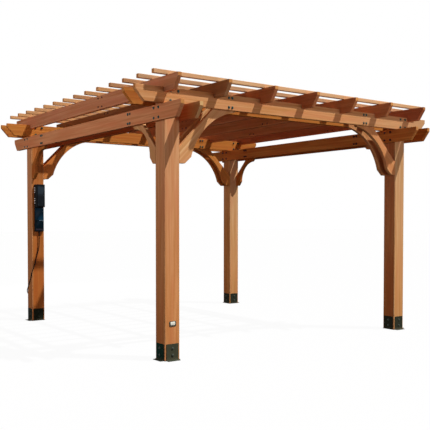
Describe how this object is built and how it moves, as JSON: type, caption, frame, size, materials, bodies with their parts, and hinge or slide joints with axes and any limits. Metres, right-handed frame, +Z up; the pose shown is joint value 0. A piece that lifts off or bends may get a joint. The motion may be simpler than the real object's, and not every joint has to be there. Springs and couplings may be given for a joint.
{
  "type": "timber pergola",
  "caption": "Free-standing square timber pergola with post shoes, double beams, notched rafters, slats and curved knee braces.",
  "frame": {"origin": "on the ground at the centre of the four posts", "axes": "+X along the upper beams, from the front left post to the front right post; +Y along the lower beams, from front to rear; +Z up"},
  "size_m": [3.72, 3.72, 2.45],
  "materials": {
    "badge_plate": "satin",
    "board_timber": "oiled",
    "cord_rubber": "matte",
    "cover_plastic": "smoked",
    "housing_plastic": "satin",
    "panel_plastic": "satin",
    "post_timber": "oiled",
    "shoe_steel": "satin powder coat",
    "slat_timber": "oiled"
  },
  "bodies": {
    "root": {"badge_plate": "badge_plate", "brace_lower_front_left": "board_timber", "brace_lower_front_right": "board_timber", "brace_lower_rear_left": "board_timber", "brace_lower_rear_right": "board_timber", "brace_upper_front_left": "board_timber", "brace_upper_front_right": "board_timber", "brace_upper_rear_left": "board_timber", "brace_upper_rear_right": "board_timber", "cord_clip": "housing_plastic", "lower_beam_left_inner": "board_timber", "lower_beam_left_outer": "board_timber", "lower_beam_right_inner": "board_timber", "lower_beam_right_outer": "board_timber", "post_front_left": "post_timber", "post_front_right": "post_timber", "post_rear_left": "post_timber", "post_rear_right": "post_timber", "post_shoe_front_left": "shoe_steel", "post_shoe_front_right": "shoe_steel", "post_shoe_rear_left": "shoe_steel", "post_shoe_rear_right": "shoe_steel", "power_unit_cover": "cover_plastic", "power_unit_housing": "housing_plastic", "power_unit_panel": "panel_plastic", "rafter_01": "board_timber", "rafter_02": "board_timber", "rafter_03": "board_timber", "rafter_04": "board_timber", "rafter_05": "board_timber", "rafter_06": "board_timber", "rafter_07": "board_timber", "slat_01": "slat_timber", "slat_02": "slat_timber", "slat_03": "slat_timber", "slat_04": "slat_timber", "slat_05": "slat_timber", "slat_06": "slat_timber", "slat_07": "slat_timber", "slat_08": "slat_timber", "slat_09": "slat_timber", "slat_10": "slat_timber", "slat_11": "slat_timber", "slat_12": "slat_timber", "slat_13": "slat_timber", "slat_14": "slat_timber", "supply_cord": "cord_rubber", "supply_plug": "cord_rubber", "upper_beam_front_inner": "board_timber", "upper_beam_front_outer": "board_timber", "upper_beam_rear_inner": "board_timber", "upper_beam_rear_outer": "board_timber"}
  },
  "joints": []
}
